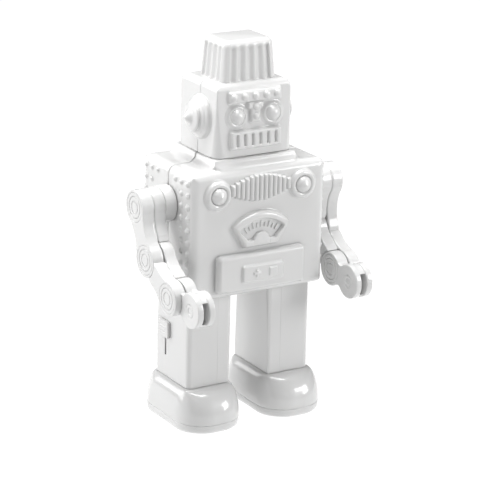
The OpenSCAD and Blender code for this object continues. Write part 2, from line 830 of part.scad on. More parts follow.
// A ringed head flush with the arm's outer face, on a shank that is the pivot
module ring_rivet(side, p, r, from_x) shift() color(glaze) {
  scale_x(side) {
    difference() {
      rod_x(cap_r, arm_out - cap_t + 0.05, arm_out, p[0], p[1]);
      translate([arm_out - 0.7, p[0], p[1]]) rotate([0, 90, 0]) ring_grooves(cap_r);
    }
    rod_x(r, from_x, arm_out - cap_t + 0.06, p[0], p[1]);
  }
}

module elbow_rivet(side) ring_rivet(side, elbow(side), rivet_r, arm_x + cap_t + 0.1);
module wrist_rivet(side) ring_rivet(side, wrist(side), rivet_r, arm_x + cap_t + 0.1);
module shoulder_bolt(side) ring_rivet(side, [shoulder_y, shoulder_z], bolt_r, body_w / 2 - wall - 12);

module shoulder_hub(side) shift() color(glaze)
  scale_x(side) difference() {
    rod_x(hub_r, body_w / 2 + 0.5, arm_x, shoulder_y, shoulder_z);
    rod_x(bolt_r + 0.02, body_w / 2 - 1, arm_x + 1, shoulder_y, shoulder_z);
  }

module shoulder_nut(side) shift() color(brass)
  scale_x(side) difference() {
    translate([body_w / 2 - wall - 2 - 0.4 - 5, shoulder_y, shoulder_z]) rotate([0, 90, 0])
      cylinder(r = 9, h = 5, $fn = 6);
    rod_x(bolt_r + 0.02, 0, 80, shoulder_y, shoulder_z);
  }

module upper_arm_right() upper_arm(-1);
module forearm_right() forearm(-1);
module hand_right() hand(-1);
module hand_caps_right() hand_caps(-1);
module elbow_rivet_right() elbow_rivet(-1);
module wrist_rivet_right() wrist_rivet(-1);
module shoulder_hub_right() shoulder_hub(-1);
module shoulder_bolt_right() shoulder_bolt(-1);
module shoulder_nut_right() shoulder_nut(-1);
module upper_arm_left() upper_arm(1);
module forearm_left() forearm(1);
module hand_left() hand(1);
module hand_caps_left() hand_caps(1);
module elbow_rivet_left() elbow_rivet(1);
module wrist_rivet_left() wrist_rivet(1);
module shoulder_hub_left() shoulder_hub(1);
module shoulder_bolt_left() shoulder_bolt(1);
module shoulder_nut_left() shoulder_nut(1);

// ---------- legs ----------

leg_top = body_z + leg_rise;

// Outline from the side: the back slopes out towards the heel
module leg_side(inset, z0, z1) {
  slope = (leg_back_foot - leg_back_top) / (leg_top - foot_h);
  back0 = leg_back_foot - slope * (z0 - foot_h) - inset;
  back1 = leg_back_foot - slope * (z1 - foot_h) - inset;
  polygon([[leg_front + inset, z0], [back0, z0], [back1, z1], [leg_front + inset, z1]]);
}

// Outline from the front: the inner face slopes a little
module leg_front_face(inset, z0, z1) {
  slope = (leg_in_foot - leg_in) / (leg_top - foot_h);
  in0 = leg_in_foot - slope * (z0 - foot_h) + inset;
  in1 = leg_in_foot - slope * (z1 - foot_h) + inset;
  polygon([[in0, z0], [leg_out - inset, z0], [leg_out - inset, z1], [in1, z1]]);
}

module leg_solid(inset, z0, z1, r) {
  intersection() {
    rotate([90, 0, 90]) linear_extrude(big) leg_side(inset, z0, z1);
    translate([0, big / 2, 0]) rotate([90, 0, 0]) linear_extrude(big) leg_front_face(inset, z0, z1);
    translate([(leg_in + leg_out) / 2, (leg_front + leg_back_foot) / 2, z0])
      linear_extrude(z1 - z0) round_rect(leg_out - leg_in - 2 * inset, leg_back_foot - leg_front - 2 * inset, r);
  }
}

module leg_skin() {
  difference() {
    leg_solid(0, foot_h, leg_top, 4);
    leg_solid(wall, foot_h - 1, leg_top - wall, 1.5);
  }
}

module leg_shell(side) shift() color(glaze) scale_x(side) difference() {
  union() {
    intersection() {
      leg_skin();
      translate([cover_split + 0.2, -big / 2, 0]) cube([big, big, big]);
    }
    // hip block that hangs on the axle
    translate([cover_split + 4, hip_y - 5.5, leg_top - wall]) cube([16, 11, hip_z - leg_top + wall]);
    rod_x(5.5, cover_split + 4, cover_split + 20, hip_y, hip_z);
  }
  rod_x(hip_r + fit, 0, 60, hip_y, hip_z);
  if (side < 0) switch_slot();
}

module leg_cover(side) shift() color(glaze) scale_x(side)
  intersection() {
    leg_skin();
    translate([cover_split - 0.2 - big, -big / 2, 0]) cube([big, big, big]);
  }

module leg_shell_right() leg_shell(-1);
module leg_shell_left() leg_shell(1);
module leg_cover_right() leg_cover(-1);
module leg_cover_left() leg_cover(1);

// The switch is a flat slider on the outer side of the right leg, at the top of its slot
switch_y = 8;
switch_z = foot_h + 39;
switch_travel = 18;

module switch_slot() {
  translate([leg_out - wall - 1, switch_y - 1.2, switch_z - switch_travel - 4])
    cube([wall + 4, 2.4, switch_travel + 8]);
}

module power_switch() shift() color(glaze) scale_x(-1) {
  difference() {
    translate([leg_out + 0.2, switch_y - 7.5, switch_z - 6.5]) cube([2.4, 15, 13]);
    for (dz = [-2.4, 0, 2.4]) translate([leg_out + 2.2, switch_y - 5, switch_z + dz - 0.5]) cube([1, 10, 1]);
  }
  translate([leg_out - wall - 0.5, switch_y - 0.9, switch_z - 2.4]) cube([wall + 1, 1.8, 4.8]);
  translate([leg_out - wall - 1.6, switch_y - 3, switch_z - 3]) cube([1.3, 6, 6]);
}

// ---------- feet ----------

foot_in = 9.5;
foot_out = 62.5;
toe_y = -46;
heel_y = 32;
sole_h = 7;

module foot_outline(inset, toe_r, heel_r) {
  w = foot_out - foot_in - 2 * inset;
  x0 = foot_in + inset;
  x1 = foot_out - inset;
  y0 = toe_y + inset;
  y1 = heel_y - inset;
  union() {
    translate([x0, y0 + toe_r]) square([w, y1 - y0 - toe_r - heel_r]);
    translate([x0 + toe_r, y0]) square([w - 2 * toe_r, toe_r + 1]);
    translate([x0 + heel_r, y1 - heel_r - 1]) square([w - 2 * heel_r, heel_r + 1]);
    for (x = [x0 + toe_r, x1 - toe_r]) translate([x, y0 + toe_r]) circle(toe_r);
    for (x = [x0 + heel_r, x1 - heel_r]) translate([x, y1 - heel_r]) circle(heel_r);
  }
}

// Seen from the side and the front, the shoe's upper edge is a broad curve
module shoe(side) shift() color(glaze) scale_x(side) {
  h = foot_h - sole_h;
  difference() {
    intersection() {
      translate([0, 0, sole_h]) linear_extrude(h) foot_outline(1, 21, 13);
      translate([0, 0, sole_h]) rotate([90, 0, 90]) linear_extrude(big) shoe_side();
      translate([0, big / 2, sole_h]) rotate([90, 0, 0]) linear_extrude(big) shoe_front();
    }
    difference() {
      intersection() {
        translate([0, 0, sole_h - 1]) linear_extrude(h - 2) foot_outline(4, 18, 10);
        translate([0, 0, sole_h - 3]) rotate([90, 0, 90]) linear_extrude(big) shoe_side();
        translate([0, big / 2, sole_h - 3]) rotate([90, 0, 0]) linear_extrude(big) shoe_front();
      }
      both_posts(5, sole_h - 2, foot_h);
    }
    both_posts(1.5, sole_h - 2, foot_h - 6);
  }
  // spigot that the leg sits over
  spigot_w = leg_out - leg_in_foot - 2 * wall - 1.6;
  spigot_d = leg_back_foot - leg_front - 2 * wall - 2.8;
  translate([leg_in_foot + wall + 0.8, leg_front + wall + 0.8, foot_h - eps]) difference() {
    cube([spigot_w, spigot_d, 8]);
    translate([2, 2, -1]) cube([spigot_w - 4, spigot_d - 4, 10]);
  }
}

module both_posts(r, z0, z1) {
  for (y = [-19, 13]) translate([36, y, z0]) cylinder(r = r, h = z1 - z0);
}

module shoe_side() {
  h = foot_h - sole_h;
  r = 20;
  hr = 12;
  difference() {
    translate([toe_y, 0]) square([heel_y - toe_y, h]);
    translate([toe_y, h - r]) difference() {
      translate([-1, 0]) square([r + 1, r + 1]);
      translate([r, 0]) circle(r, $fn = 96);
    }
    translate([heel_y - hr, h - hr]) difference() {
      square([hr + 1, hr + 1]);
      circle(hr, $fn = 96);
    }
  }
}

module shoe_front() {
  h = foot_h - sole_h;
  r = 9;
  difference() {
    translate([foot_in, 0]) square([foot_out - foot_in, h]);
    translate([foot_in, h - r]) difference() {
      translate([-1, 0]) square([r + 1, r + 1]);
      translate([r, 0]) circle(r);
    }
    translate([foot_out - r, h - r]) difference() {
      square([r + 1, r + 1]);
      circle(r);
    }
  }
}

module sole(side) shift() color(glaze) scale_x(side) {
  translate([0, 0, 1.5]) linear_extrude(sole_h - 1.5) foot_outline(0, 22, 14);
  linear_extrude(2) foot_outline(1.5, 20.5, 12.5);
  both_posts(1.45, sole_h - eps, sole_h + 6);
}

module shoe_right() shoe(-1);
module shoe_left() shoe(1);
module sole_right() sole(-1);
module sole_left() sole(1);

front_shell();
rear_shell();
case_screws();
chest_grille();
button_bezels();
chest_button_right();
chest_button_left();
button_spring();
gauge_bezel();
gauge_dial();
battery_cover();
cover_pin();
battery_box();
battery_cells();
battery_contacts();
hip_frame();
hip_axle();
neck_bush();
shoulder_bushes();
face_shell();
rear_head_shell();
neck_spindle();
neck_nut();
brow_plate();
nose_plate();
eye_rims();
eye_lenses();
eye_lamps();
mouth_grille();
ear_discs();
ear_knobs();
crown();
upper_arm_right();
forearm_right();
hand_right();
hand_caps_right();
elbow_rivet_right();
wrist_rivet_right();
shoulder_hub_right();
shoulder_bolt_right();
shoulder_nut_right();
upper_arm_left();
forearm_left();
hand_left();
hand_caps_left();
elbow_rivet_left();
wrist_rivet_left();
shoulder_hub_left();
shoulder_bolt_left();
shoulder_nut_left();
leg_shell_right();
leg_cover_right();
shoe_right();
sole_right();
leg_shell_left();
leg_cover_left();
shoe_left();
sole_left();
power_switch();
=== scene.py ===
"""The glazed toy robot: soft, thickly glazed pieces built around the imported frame."""
import json
import math

import bmesh
import bpy
import numpy as np
from mathutils import Matrix, Vector


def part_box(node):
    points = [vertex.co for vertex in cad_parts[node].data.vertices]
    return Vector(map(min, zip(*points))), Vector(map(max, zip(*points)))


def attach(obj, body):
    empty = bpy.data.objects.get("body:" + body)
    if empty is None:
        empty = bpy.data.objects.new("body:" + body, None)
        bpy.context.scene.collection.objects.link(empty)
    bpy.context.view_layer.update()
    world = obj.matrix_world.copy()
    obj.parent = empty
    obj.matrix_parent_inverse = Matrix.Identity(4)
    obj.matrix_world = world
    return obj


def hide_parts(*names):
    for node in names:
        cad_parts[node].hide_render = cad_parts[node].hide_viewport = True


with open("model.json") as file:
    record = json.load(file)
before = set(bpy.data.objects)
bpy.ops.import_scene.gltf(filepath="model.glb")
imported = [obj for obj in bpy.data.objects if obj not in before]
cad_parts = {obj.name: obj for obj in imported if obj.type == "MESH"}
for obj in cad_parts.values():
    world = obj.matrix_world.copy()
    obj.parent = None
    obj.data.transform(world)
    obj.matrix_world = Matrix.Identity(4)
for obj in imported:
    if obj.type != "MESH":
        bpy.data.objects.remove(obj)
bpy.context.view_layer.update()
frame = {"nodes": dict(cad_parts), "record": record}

MM = 0.001
BURIED = -0.05       # height of a relief where its plate has ended, just inside the surface it sits on
ROOT = 0.6           # how deep most of the added pieces reach into that surface
AXIS = 0.02          # smallest radius of a turned profile
behaviour = frame["record"]["behaviour"]
BODY_OF = {node: body for body, nodes in behaviour["bodies"].items() for node in nodes}
SLOT_OF = {row["node"]: row["material_slot"] for row in frame["record"]["subparts"]}


# ---------- materials ----------

def new_material(name):
    material = bpy.data.materials.new(name)
    material.use_nodes = True
    tree = material.node_tree
    return material, tree, tree.nodes["Principled BSDF"]


def object_noise(tree, scale, detail=3.0, rough=0.5):
    """A noise texture in the piece's own space."""
    coords = tree.nodes.new("ShaderNodeTexCoord")
    noise = tree.nodes.new("ShaderNodeTexNoise")
    noise.inputs["Scale"].default_value = scale
    noise.inputs["Detail"].default_value = detail
    noise.inputs["Roughness"].default_value = rough
    tree.links.new(coords.outputs["Object"], noise.inputs["Vector"])
    return noise


def ramp(tree, source, stops):
    node = tree.nodes.new("ShaderNodeValToRGB")
    for element, (place, colour) in zip(node.color_ramp.elements, stops):
        element.position = place
        element.color = (*colour, 1)
    tree.links.new(source, node.inputs["Fac"])
    return node


def value_range(tree, source, low, high):
    node = tree.nodes.new("ShaderNodeMapRange")
    node.inputs["To Min"].default_value = low
    node.inputs["To Max"].default_value = high
    tree.links.new(source, node.inputs["Value"])
    return node


def bump(tree, shader, source, strength, distance, under=None):
    node = tree.nodes.new("ShaderNodeBump")
    node.inputs["Strength"].default_value = strength
    node.inputs["Distance"].default_value = distance
    tree.links.new(source, node.inputs["Height"])
    if under:
        tree.links.new(under.outputs["Normal"], node.inputs["Normal"])
    tree.links.new(node.outputs["Normal"], shader.inputs["Normal"])
    return node


def glaze_material(name, tint):
    """Thick white glaze: barely pooled colour, a slow ripple, a fine peel, and a glassy coat."""
    material, tree, shader = new_material(name)
    pooling = object_noise(tree, 26.0, 2.0)
    white = tuple(1.006 * c for c in tint)
    shade = tuple(0.99 * c for c in tint)
    colour = ramp(tree, pooling.outputs["Fac"], [(0.3, shade), (0.7, white)])
    tree.links.new(colour.outputs["Color"], shader.inputs["Base Color"])
    patches = object_noise(tree, 60.0, 2.0)
    rough = value_range(tree, patches.outputs["Fac"], 0.26, 0.36)
    tree.links.new(rough.outputs["Result"], shader.inputs["Roughness"])
    ripple = object_noise(tree, 45.0, 1.0)
    peel = object_noise(tree, 420.0, 2.0)
    slow = bump(tree, shader, ripple.outputs["Fac"], 0.1, 0.0012)
    bump(tree, shader, peel.outputs["Fac"], 0.04, 0.00006, slow)
    shader.inputs["Coat Weight"].default_value = 0.9
    shader.inputs["Coat Roughness"].default_value = 0.06
    shader.inputs["Coat IOR"].default_value = 1.5
    shader.inputs["IOR"].default_value = 1.45
    shader.inputs["Subsurface Weight"].default_value = 0.1
    shader.inputs["Subsurface Radius"].default_value = (1.0, 0.95, 0.9)
    shader.inputs["Subsurface Scale"].default_value = 0.001
    return material


def metal_material(name, colour, rough_low, rough_high, grain):
    """Turned or pressed metal with a fine grain and uneven polish."""
    material, tree, shader = new_material(name)
    polish = object_noise(tree, grain, 5.0, 0.6)
    dull = tuple(0.86 * c for c in colour)
    tone = ramp(tree, polish.outputs["Fac"], [(0.3, dull), (0.75, colour)])
    tree.links.new(tone.outputs["Color"], shader.inputs["Base Color"])
    rough = value_range(tree, polish.outputs["Fac"], rough_low, rough_high)
    tree.links.new(rough.outputs["Result"], shader.inputs["Roughness"])
    bump(tree, shader, polish.outputs["Fac"], 0.15, 0.0001)
    shader.inputs["Metallic"].default_value = 1.0
    return material


def plastic_material(name, colour):
    """Moulded acetal: nearly black, with a satin grain."""
    material, tree, shader = new_material(name)
    grain = object_noise(tree, 900.0, 3.0)
    light = tuple(1.5 * c for c in colour)
    tone = ramp(tree, grain.outputs["Fac"], [(0.35, colour), (0.7, light)])
    tree.links.new(tone.outputs["Color"], shader.inputs["Base Color"])
    rough = value_range(tree, grain.outputs["Fac"], 0.42, 0.58)
    tree.links.new(rough.outputs["Result"], shader.inputs["Roughness"])
    bump(tree, shader, grain.outputs["Fac"], 0.2, 0.00005)
    return material


SLOT_MATERIAL = {
    "white_glaze": glaze_material("white_glaze", (0.66, 0.66, 0.657)),
    "steel": metal_material("plated_steel", (0.62, 0.62, 0.63), 0.28, 0.42, 160.0),
    "brass": metal_material("plain_brass", (0.78, 0.6, 0.28), 0.24, 0.4, 220.0),
    "dark_plastic": plastic_material("black_acetal", (0.02, 0.02, 0.022)),
}


# ---------- building ----------

rebuilt = set()


def dress(piece, *nodes):
    """Finishes a piece and lets it stand for the CAD nodes it replaces."""
    slot = SLOT_OF[nodes[0]]
    rebuilt.update(nodes)
    piece.data.materials.clear()
    piece.data.materials.append(SLOT_MATERIAL[slot])
    piece.data.polygons.foreach_set("use_smooth", [True] * len(piece.data.polygons))
    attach(piece, BODY_OF[nodes[0]])
    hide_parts(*nodes)


def new_object(name, mesh):
    piece = bpy.data.objects.new(name, mesh)
    bpy.context.scene.collection.objects.link(piece)
    return piece


def apply_modifiers(piece):
    graph = bpy.context.evaluated_depsgraph_get()
    graph.update()
    mesh = bpy.data.meshes.new_from_object(piece.evaluated_get(graph))
    old = piece.data
    piece.modifiers.clear()
    piece.data = mesh
    bpy.data.meshes.remove(old)


def node_copy(node, ending, nudge=0.0):
    """A copy of a node's own shape with its doubled corners joined, nudged sideways by mm."""
    mesh = frame["nodes"][node].data.copy()
    mesh.name = node + ending
    work = bmesh.new()
    work.from_mesh(mesh)
    bmesh.ops.remove_doubles(work, verts=work.verts, dist=1e-6)
    bmesh.ops.translate(work, verts=work.verts, vec=(nudge * MM, 0, 0))
    work.to_mesh(mesh)
    work.free()
    return new_object(node + ending, mesh)


def melted_copy(node, voxel, melt, swell=0.0):
    """A node's own shape, remeshed at voxel mm, melted by smoothing steps, and swollen by mm."""
    piece = node_copy(node, "_glazed")
    remesh = piece.modifiers.new("melt_grid", "REMESH")
    remesh.mode = "VOXEL"
    remesh.voxel_size = voxel * MM
    smooth = piece.modifiers.new("melt", "SMOOTH")
    smooth.factor = 0.5
    smooth.iterations = melt
    if swell:
        grow = piece.modifiers.new("swell", "DISPLACE")
        grow.strength = swell * MM
        grow.mid_level = 0
    apply_modifiers(piece)
    return piece


class Plane:
    """A flat face of the figure: its middle, its right and up directions, and its outward one."""

    def __init__(self, middle, right, up):
        self.middle = np.array(middle, float)
        self.right = np.array(right, float)
        self.up = np.array(up, float)
        self.out = np.cross(self.right, self.up)

    def place(self, across, along, height):
        """World points in metres for flat arrays in mm on the face."""
        flat = np.outer(across, self.right) + np.outer(along, self.up) + np.outer(height, self.out)
        return (self.middle + flat * MM).tolist()


def join_parts(name, parts):
    """One mesh object out of (points, faces) parts."""
    points, faces = [], []
    for part_points, part_faces in parts:
        start = len(points)
        points += part_points
        faces += [[start + i for i in face] for face in part_faces]
    mesh = bpy.data.meshes.new(name)
    mesh.from_pydata(points, [], faces)
    mesh.validate()
    return new_object(name, mesh)


def relief_part(plane, half_w, half_h, height, step, under=None):
    """A closed slab on a plane whose outer side is the height function, in mm."""
    xs = np.linspace(-half_w, half_w, 2 * round(half_w / step) + 1)
    ys = np.linspace(-half_h, half_h, 2 * round(half_h / step) + 1)
    across, along = np.meshgrid(xs, ys)
    rise = np.maximum(height(across, along), BURIED)
    corners = [rise[:-1, :-1], rise[1:, :-1], rise[:-1, 1:], rise[1:, 1:]]
    peak = np.max(corners, axis=0)
    kept_rows, kept_cols = np.nonzero(peak > BURIED)
    number = np.full(rise.shape, -1)
    for dy in (0, 1):
        for dx in (0, 1):
            number[kept_rows + dy, kept_cols + dx] = 0
    rows, cols = np.nonzero(number == 0)
    number[rows, cols] = np.arange(len(rows))
    count = len(rows)
    top = plane.place(across[rows, cols], along[rows, cols], rise[rows, cols])
    floor = np.full(count, -ROOT) if under is None else under(across[rows, cols], along[rows, cols])
    low = plane.place(across[rows, cols], along[rows, cols], floor)
    faces, border = [], {}
    for row, col in zip(kept_rows, kept_cols):
        quad = [int(number[row, col]), int(number[row, col + 1]),
                int(number[row + 1, col + 1]), int(number[row + 1, col])]
        faces.append(quad)
        faces.append([count + i for i in reversed(quad)])
        for a, b in zip(quad, quad[1:] + quad[:1]):
            if (b, a) in border:
                del border[(b, a)]
            else:
                border[(a, b)] = True
    faces += [[b, a, count + a, count + b] for a, b in border]
    return top + low, faces


def turned_points(plane, profile, turns):
    """A ring of points in metres for each (radius, height) in mm of a profile."""
    angles = np.linspace(0, 2 * math.pi, turns, endpoint=False)
    points = []
    for radius, height in profile:
        points += plane.place(radius * np.cos(angles), radius * np.sin(angles), np.full(turns, height))
    return points


def band(inner, outer, turns):
    """Faces between two rings of a turned shape, whose points start at inner and outer."""
    faces = []
    for i in range(turns):
        j = (i + 1) % turns
        faces.append([outer + i, outer + j, inner + j, inner + i])
    return faces


def lathe_part(plane, profile, turns=72):
    """A turned shape on a plane: profile runs (radius, height) in mm from the middle outwards."""
    profile = smooth_curve(profile)
    last = len(profile) - 1
    faces = []
    for ring in range(last):
        faces += band(ring * turns, (ring + 1) * turns, turns)
    faces.append(list(range(turns)))
    faces.append([last * turns + i for i in reversed(range(turns))])
    return turned_points(plane, profile, turns), faces


def ring_part(plane, profile, turns=72):
    """A turned ring: the profile is a closed loop of (radius, height)."""
    loop = smooth_curve(profile, closed=True)
    faces = []
    for ring in range(len(loop)):
        faces += band(ring * turns, (ring + 1) % len(loop) * turns, turns)
    return turned_points(plane, loop, turns), faces


def smooth_curve(points, closed=False, cuts=5):
    """Catmull-Rom curve through the points."""
    points = np.array(points, float)
    count = len(points)
    result = []
    spans = count if closed else count - 1
    for i in range(spans):
        if closed:
            a, b, c, d = (points[(i + k) % count] for k in (-1, 0, 1, 2))
        else:
            a, b, c, d = points[max(i - 1, 0)], points[i], points[i + 1], points[min(i + 2, count - 1)]
        for t in np.arange(cuts) / cuts:
            square = (2 * a - 5 * b + 4 * c - d) * t ** 2
            cube = (3 * b - a - 3 * c + d) * t ** 3
            result.append(0.5 * (2 * b + (c - a) * t + square + cube))
    if not closed:
        result.append(points[-1])
    return result


# ---------- heights over a face, in mm ----------

def box_distance(x, y, half_w, half_h, radius):
    """Distance to a rectangle with round corners; negative inside."""
    across = np.abs(x) - half_w + radius
    along = np.abs(y) - half_h + radius
    outside = np.hypot(np.maximum(across, 0), np.maximum(along, 0))
    return outside + np.minimum(np.maximum(across, along), 0) - radius


def outline_distance(x, y, corners, radius):
    """Distance to a polygon whose corners are rounded; negative inside."""
    best = np.full(x.shape, 1e9)
    inside = np.zeros(x.shape, bool)
    for (ax, ay), (bx, by) in zip(corners, corners[1:] + corners[:1]):
        dx, dy = bx - ax, by - ay
        t = np.clip(((x - ax) * dx + (y - ay) * dy) / (dx * dx + dy * dy), 0, 1)
        best = np.minimum(best, np.hypot(x - ax - t * dx, y - ay - t * dy))
        if dy:
            crosses = ((ay > y) != (by > y)) & (x < dx * (y - ay) / dy + ax)
            inside ^= crosses
    return np.where(inside, -best, best) - radius


def dome(x, y, at, radius, height):
    """A round mound of that height at a place."""
    reach = np.clip(1 - ((x - at[0]) ** 2 + (y - at[1]) ** 2) / radius ** 2, 0, 1)
    return height * reach ** 0.7


def soft_min(a, b, blend):
    """The smaller of two distances, rounded over where they are nearly alike."""
    mix = np.maximum(blend - np.abs(a - b), 0) / blend
    return np.minimum(a, b) - mix * mix * blend / 4


def mesh_part(piece):
    """Takes a piece's mesh out of the scene, as (points, faces)."""
    mesh = piece.data
    points = [tuple(v.co) for v in mesh.vertices]
    faces = [list(p.vertices) for p in mesh.polygons]
    bpy.data.objects.remove(piece)
    bpy.data.meshes.remove(mesh)
    return points, faces


def crisp_copy(node, nudge):
    """A node's own shape with its edges kept and its flat faces shaded flat."""
    piece = node_copy(node, "_crisp", nudge)
    dress(piece, node)
    piece.data.set_sharp_from_angle(angle=math.radians(28))
    flatten = piece.modifiers.new("flat_faces", "WEIGHTED_NORMAL")
    flatten.keep_sharp = True
    apply_modifiers(piece)


def loft_part(levels, count):
    """Closed shape through outlines of equal count, listed from the bottom up."""
    points = [point for level in levels for point in level]
    faces = []
    for ring in range(len(levels) - 1):
        for i in range(count):
            j = (i + 1) % count
            low, high = ring * count, (ring + 1) * count
            faces.append([low + i, low + j, high + j, high + i])
    faces.append(list(reversed(range(count))))
    faces.append([(len(levels) - 1) * count + i for i in range(count)])
    return points, faces


# ---------- places on the figure, in mm ----------

SPINDLE_FLANGE = 14.0      # radius of the neck spindle's widest part, which stands on the middle
middle_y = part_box("neck_spindle")[0].y / MM + SPINDLE_FLANGE
front_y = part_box("chest_grille")[1].y / MM

BODY_SIDE = 58.5
GRILLE_Z = 188.2
BUTTON_X, BUTTON_Z = 36.7, 186
GAUGE_Z = 160
COVER_Z = 124.25
COVER_SLACK = 0.3
RIVET_PITCH = 9
RIVET_Y, RIVET_Z = 31.5, 196.0

HEAD_Z, HEAD_H = 211.0, 54.5
CHIN_FRONT, CHIN_SIDE = 29.75, 33.75     # the face and cheeks at the chin, from the head's middle
FACE_BACK, CHEEK_IN = 3.0, 2.0           # how far they have come in at the head's top
BROW_Z = 256
NOSE_Z = 243.8
EYE_X, EYE_Z = 15.3, 241.5
MOUTH_Z = 223.8
EAR_Y, EAR_Z = -4.0, 238.5
CROWN_Y, CROWN_Z, CROWN_H = -2.5, 265.5, 31.0
CROWN_HALF_W, CROWN_HALF_D = 23.5, 19.0

FOOT_X, FOOT_Y = 36, -7
FOOT_HALF_W, FOOT_HALF_L = 26.5, 39.0


def front_plane(x, z, out=0.0):
    return Plane((x * MM, (front_y - out) * MM, z * MM), (1, 0, 0), (0, 0, 1))


def face_plane(x, z):
    y = middle_y - CHIN_FRONT + (z - HEAD_Z) * FACE_BACK / HEAD_H
    lean = math.atan(FACE_BACK / HEAD_H)
    return Plane((x * MM, y * MM, z * MM), (1, 0, 0), (0, math.sin(lean), math.cos(lean)))


def cheek_plane(side, z):
    x = side * (CHIN_SIDE - (z - HEAD_Z) * CHEEK_IN / HEAD_H)
    lean = math.atan(CHEEK_IN / HEAD_H)
    up = (-side * math.sin(lean), 0, math.cos(lean))
    return Plane((x * MM, (middle_y + EAR_Y) * MM, z * MM), (0, side, 0), up)


def side_plane(side, y, z):
    return Plane((side * BODY_SIDE * MM, (middle_y + y) * MM, z * MM), (0, side, 0), (0, 0, 1))


def round_edge(distance, height, shoulder, foot):
    """Height of a plate that has a quarter-round edge and a hollow of glaze at its foot."""
    start = 0.22 * height     # the hollow's share
    inner = np.clip(-distance / shoulder, 0, 1)
    up = start + (height - start) * np.sqrt(1 - (1 - inner) ** 2)
    out = start * np.clip(1 - distance / foot, 0, 1) ** 2
    return np.where(distance > foot, BURIED, np.where(distance < 0, up, out))


def pocket(distance, top, floor, lip):
    """Heights outside a recess whose lip is a quarter round; floor level inside it."""
    out = np.clip(distance / lip, 0, 1)
    return np.where(distance < 0, floor, floor + (top - floor) * np.sqrt(1 - (1 - out) ** 2))


# ---------- head ----------

def brow_height(x, y):
    """A plate with a row of five beads."""
    pitch = 9.3
    height = round_edge(box_distance(x, y, 22.25, 4.4, 1.6), 2.6, 2.0, 1.3)
    for i in range(-2, 3):
        bead = dome(x, y, (pitch * i, 0), 3.1, 2.1)
        height = np.where(height > 0, height + bead, height)
    return height


def nose_height(x, y):
    """A stem and a bar across its top, with one bead above another."""
    stem = box_distance(x, y, 4.2, 7.7, 1.2)
    bar = box_distance(x, y - 5.2, 6.75, 2.5, 1.2)
    height = round_edge(soft_min(stem, bar, 1.5), 2.7, 2.0, 1.3)
    for at in ((0, 4.3), (0, -3)):
        height = np.where(height > 0, height + dome(x, y, at, 2.8, 2.0), height)
    return height


def mouth_height(x, y):
    """A frame with six upright slots."""
    top, slots, pitch = 3.6, 6, 6.6
    height = round_edge(box_distance(x, y, 21.75, 7.0, 1.6), top, 1.7, 1.2)
    for i in range(slots):
        gap = box_distance(x - pitch * (i - (slots - 1) / 2), y + 0.2, 0.6, 4.2, 0.5)
        height = np.minimum(height, pocket(gap, top, 1.5, 1.6))
    return height


def make_face():
    for name, node, z, half_w, half_h, height, step in (
        ("brow", "brow_plate", BROW_Z, 24, 6, brow_height, 0.28),
        ("nose", "nose_plate", NOSE_Z, 9, 10, nose_height, 0.26),
        ("mouth", "mouth_grille", MOUTH_Z, 24, 9, mouth_height, 0.24),
    ):
        dress(join_parts(name, [relief_part(face_plane(0, z), half_w, half_h, height, step)]), node)
    rim = [
        (AXIS, 1.2), (4.8, 1.25), (6.2, 1.4), (7.1, 1.6), (8.0, 1.2), (8.8, 0.6), (9.6, 0.2), (10.2, 0.03),
        (10.3, -ROOT),
    ]
    ball = [(AXIS, 5.5), (1.9, 5.2), (3.6, 4.3), (5.0, 2.9), (6.0, 1.7), (6.6, 1.1)]
    planes = [face_plane(s * EYE_X, EYE_Z) for s in (-1, 1)]
    dress(join_parts("eye_rings", [lathe_part(plane, rim) for plane in planes]), "eye_rims")
    dress(join_parts("eye_balls", [lathe_part(plane, ball) for plane in planes]), "eye_lenses")


def make_ears():
    disc = [
        (AXIS, 6.0), (8, 6.0), (11.4, 5.8), (13.2, 5.0), (14.2, 3.9), (15.2, 3.2), (16.1, 2.2), (16.5, 1.0),
        (17.3, 0.1), (17.4, -ROOT),
    ]
    knob = [
        (AXIS, 13.9), (1.5, 13.5), (2.9, 12.4), (4.4, 11.0), (6.0, 9.6), (8.4, 9.1), (10.3, 8.5),
        (11.1, 7.5), (10.8, 6.4), (11.2, 5.7), (11.3, 4.0),
    ]
    planes = [cheek_plane(s, EAR_Z) for s in (-1, 1)]
    dress(join_parts("ear_rings", [lathe_part(plane, disc) for plane in planes]), "ear_discs")
    dress(join_parts("ear_buttons", [lathe_part(plane, knob) for plane in planes]), "ear_knobs")


def rounded_walk(half_w, half_d, radius, pitch=0.35):
    """Rows round a rectangle with round corners: turn, side number, x, y, place along the side, angle."""
    rows = []
    for k in range(4):
        turn = math.radians(90 * k)
        out, run = (half_d, half_w) if k % 2 == 0 else (half_w, half_d)
        flat = run - radius
        for x in np.arange(-flat, flat, pitch):
            rows.append((turn, k, x, -out, x, 0.0))
        for degrees in np.arange(0, 90, 6):
            angle = math.radians(degrees)
            x = flat + radius * math.sin(angle)
            y = -out + radius - radius * math.cos(angle)
            rows.append((turn, k, x, y, None, angle))
    return rows


